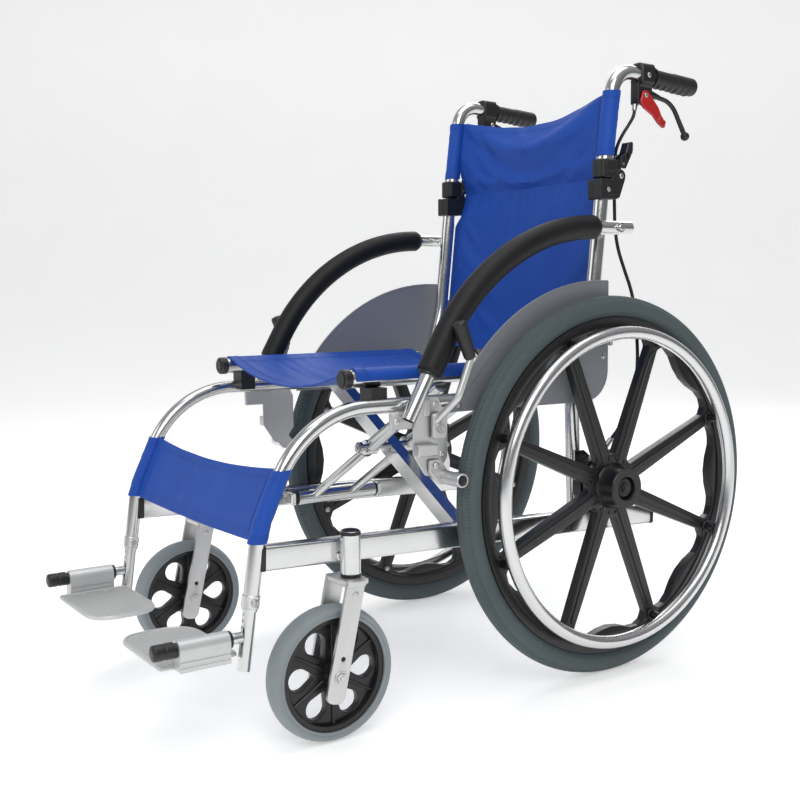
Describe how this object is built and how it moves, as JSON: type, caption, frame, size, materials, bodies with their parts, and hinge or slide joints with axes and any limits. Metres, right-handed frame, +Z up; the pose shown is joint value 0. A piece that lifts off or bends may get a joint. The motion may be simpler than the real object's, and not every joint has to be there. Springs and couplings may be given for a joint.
{
  "type": "manual wheelchair",
  "caption": "Folding manual wheelchair with spoked rear wheels, push rims, swivel casters, flip-up armrests, fold-down back and a cross brace.",
  "frame": {"origin": "centre of the footprint, on the floor", "axes": "+Z up, -Y towards the footrest, +X to the left of the person seated"},
  "size_m": [0.563, 0.983, 0.911],
  "materials": {
    "polished_tube": "polished, clear anodised",
    "satin_metal": "satin",
    "black_plastic": "fine grained",
    "grip_rubber": "soft, ribbed",
    "foam": "dense foam with a smooth skin",
    "cloth": "coated nylon weave",
    "tyre": "matte with a notched tread",
    "caster_rubber": "smooth",
    "guard": "flat",
    "red_plastic": "moulded",
    "cable": "smooth sheath"
  },
  "bodies": {
    "frame_left": {"bottom_rail_left": "polished_tube", "front_tube_left": "polished_tube", "back_post_left": "polished_tube", "saddles_left": "black_plastic", "side_guard_left": "guard", "side_bracket_left": "satin_metal", "drum_brake_left": "black_plastic", "back_hinge_left": "black_plastic", "foot_hanger_left": "satin_metal", "brake_cable_left": "cable", "back_lower": "cloth", "calf_strap": "cloth"},
    "frame_right": {"bottom_rail_right": "polished_tube", "front_tube_right": "polished_tube", "back_post_right": "polished_tube", "saddles_right": "black_plastic", "side_guard_right": "guard", "side_bracket_right": "satin_metal", "drum_brake_right": "black_plastic", "back_hinge_right": "black_plastic", "foot_hanger_right": "satin_metal", "brake_cable_right": "cable"},
    "bar_a": {"cross_bar_a": "polished_tube", "seat_right": "cloth"},
    "bar_b": {"cross_bar_b": "polished_tube", "seat_left": "cloth"},
    "caster_swivel_left": {"caster_fork_left": "satin_metal"},
    "caster_wheel_left": {"caster_tyre_left": "caster_rubber", "caster_core_left": "black_plastic"},
    "rear_wheel_left": {"rear_tyre_left": "tyre", "rear_core_left": "black_plastic", "handrim_left": "polished_tube"},
    "armrest_left": {"arm_tube_left": "polished_tube", "arm_pad_left": "foam"},
    "park_lever_left": {"park_lever_left": "black_plastic"},
    "park_shoe_left": {"park_shoe_left": "satin_metal"},
    "upper_back_left": {"upper_post_left": "polished_tube", "push_grip_left": "grip_rubber", "back_upper": "cloth"},
    "release_lever_left": {"release_lever_left": "black_plastic"},
    "hand_lever_left": {"hand_lever_left": "black_plastic"},
    "lock_lever_left": {"lock_lever_left": "red_plastic"},
    "footplate_left": {"footplate_left": "satin_metal"},
    "caster_swivel_right": {"caster_fork_right": "satin_metal"},
    "caster_wheel_right": {"caster_tyre_right": "caster_rubber", "caster_core_right": "black_plastic"},
    "rear_wheel_right": {"rear_tyre_right": "tyre", "rear_core_right": "black_plastic", "handrim_right": "polished_tube"},
    "armrest_right": {"arm_tube_right": "polished_tube", "arm_pad_right": "foam"},
    "park_lever_right": {"park_lever_right": "black_plastic"},
    "park_shoe_right": {"park_shoe_right": "satin_metal"},
    "upper_back_right": {"upper_post_right": "polished_tube", "push_grip_right": "grip_rubber"},
    "release_lever_right": {"release_lever_right": "black_plastic"},
    "hand_lever_right": {"hand_lever_right": "black_plastic"},
    "lock_lever_right": {"lock_lever_right": "red_plastic"},
    "footplate_right": {"footplate_right": "satin_metal"}
  },
  "joints": [
    {"name": "fold", "type": "hinge", "parent": "frame_left", "child": "bar_a", "pos_m": [0.176, -0.0145, 0.232], "axis": [0, 1, 0], "range_deg": [0, 46], "deforming": ["seat_left", "seat_right", "back_lower", "back_upper", "calf_strap"]},
    {"name": "cross_pivot", "type": "hinge", "parent": "bar_a", "child": "bar_b", "pos_m": [0, -0.0205, 0.33341], "axis": [0, 1, 0], "range_deg": [-92, 0]},
    {"name": "far_pivot", "type": "hinge", "parent": "bar_b", "child": "frame_right", "pos_m": [-0.176, -0.0145, 0.232], "axis": [0, 1, 0], "range_deg": [0, 46]},
    {"name": "footplate_turn_left", "type": "hinge", "parent": "frame_left", "child": "footplate_left", "pos_m": [0.2035, -0.4285, 0.148], "axis": [0, 1, 0], "range_deg": [0, 90]},
    {"name": "wheel_spin_left", "type": "hinge", "parent": "frame_left", "child": "rear_wheel_left", "pos_m": [0.239, 0.2115, 0.28], "axis": [1, 0, 0], "continuous": true},
    {"name": "caster_turn_left", "type": "hinge", "parent": "frame_left", "child": "caster_swivel_left", "pos_m": [0.2245, -0.2305, 0.235], "axis": [0, 0, 1], "continuous": true},
    {"name": "caster_spin_left", "type": "hinge", "parent": "caster_swivel_left", "child": "caster_wheel_left", "pos_m": [0.2245, -0.2635, 0.0875], "axis": [1, 0, 0], "continuous": true},
    {"name": "armrest_lift_left", "type": "hinge", "parent": "frame_left", "child": "armrest_left", "pos_m": [0.225, 0.2325, 0.659], "axis": [-1, 0, 0], "range_deg": [0, 110]},
    {"name": "park_turn_left", "type": "hinge", "parent": "frame_left", "child": "park_lever_left", "pos_m": [0.221, -0.0885, 0.386], "axis": [1, 0, 0], "range_deg": [0, 30]},
    {"name": "shoe_turn_left", "type": "hinge", "parent": "frame_left", "child": "park_shoe_left", "pos_m": [0.221, -0.0945, 0.336], "axis": [1, 0, 0], "range_deg": [0, 15]},
    {"name": "back_fold_left", "type": "hinge", "parent": "frame_left", "child": "upper_back_left", "pos_m": [0.19, 0.2655, 0.738], "axis": [-1, 0, 0], "range_deg": [0, 110], "deforming": ["brake_cable_left", "brake_cable_right"]},
    {"name": "release_turn_left", "type": "hinge", "parent": "upper_back_left", "child": "release_lever_left", "pos_m": [0.19, 0.2755, 0.757], "axis": [1, 0, 0], "range_deg": [0, 20], "stiffness_Nm_per_rad": 0.5, "springref_deg": -17.19},
    {"name": "hand_lever_turn_left", "type": "hinge", "parent": "upper_back_left", "child": "hand_lever_left", "pos_m": [0.19, 0.3295, 0.868], "axis": [1, 0, 0], "range_deg": [0, 9], "stiffness_Nm_per_rad": 2, "springref_deg": -11.46},
    {"name": "lock_turn_left", "type": "hinge", "parent": "upper_back_left", "child": "lock_lever_left", "pos_m": [0.1995, 0.3195, 0.862], "axis": [1, 0, 0], "range_deg": [0, 15]},
    {"name": "footplate_turn_right", "type": "hinge", "parent": "frame_right", "child": "footplate_right", "pos_m": [-0.2035, -0.4285, 0.148], "axis": [0, 1, 0], "range_deg": [-90, 0]},
    {"name": "wheel_spin_right", "type": "hinge", "parent": "frame_right", "child": "rear_wheel_right", "pos_m": [-0.239, 0.2115, 0.28], "axis": [1, 0, 0], "continuous": true},
    {"name": "caster_turn_right", "type": "hinge", "parent": "frame_right", "child": "caster_swivel_right", "pos_m": [-0.2245, -0.2305, 0.235], "axis": [0, 0, 1], "continuous": true},
    {"name": "caster_spin_right", "type": "hinge", "parent": "caster_swivel_right", "child": "caster_wheel_right", "pos_m": [-0.2245, -0.2635, 0.0875], "axis": [1, 0, 0], "continuous": true},
    {"name": "armrest_lift_right", "type": "hinge", "parent": "frame_right", "child": "armrest_right", "pos_m": [-0.225, 0.2325, 0.659], "axis": [-1, 0, 0], "range_deg": [0, 110]},
    {"name": "park_turn_right", "type": "hinge", "parent": "frame_right", "child": "park_lever_right", "pos_m": [-0.221, -0.0885, 0.386], "axis": [1, 0, 0], "range_deg": [0, 30]},
    {"name": "shoe_turn_right", "type": "hinge", "parent": "frame_right", "child": "park_shoe_right", "pos_m": [-0.221, -0.0945, 0.336], "axis": [1, 0, 0], "range_deg": [0, 15]},
    {"name": "back_fold_right", "type": "hinge", "parent": "frame_right", "child": "upper_back_right", "pos_m": [-0.19, 0.2655, 0.738], "axis": [-1, 0, 0], "range_deg": [0, 110]},
    {"name": "release_turn_right", "type": "hinge", "parent": "upper_back_right", "child": "release_lever_right", "pos_m": [-0.19, 0.2755, 0.757], "axis": [1, 0, 0], "range_deg": [0, 20], "stiffness_Nm_per_rad": 0.5, "springref_deg": -17.19},
    {"name": "hand_lever_turn_right", "type": "hinge", "parent": "upper_back_right", "child": "hand_lever_right", "pos_m": [-0.19, 0.3295, 0.868], "axis": [1, 0, 0], "range_deg": [0, 9], "stiffness_Nm_per_rad": 2, "springref_deg": -11.46},
    {"name": "lock_turn_right", "type": "hinge", "parent": "upper_back_right", "child": "lock_lever_right", "pos_m": [-0.1995, 0.3195, 0.862], "axis": [1, 0, 0], "range_deg": [0, 15]}
  ],
  "couplings": [
    {"joint": "cross_pivot", "follows": "fold", "ratio": -2},
    {"joint": "far_pivot", "follows": "fold", "ratio": 1},
    {"joint": "footplate_turn_left", "follows": "fold", "ratio": 1.9565},
    {"joint": "footplate_turn_right", "follows": "fold", "ratio": -1.9565},
    {"joint": "shoe_turn_left", "follows": "park_turn_left", "ratio": 0.5},
    {"joint": "shoe_turn_right", "follows": "park_turn_right", "ratio": 0.5},
    {"joint": "back_fold_right", "follows": "back_fold_left", "ratio": 1}
  ]
}
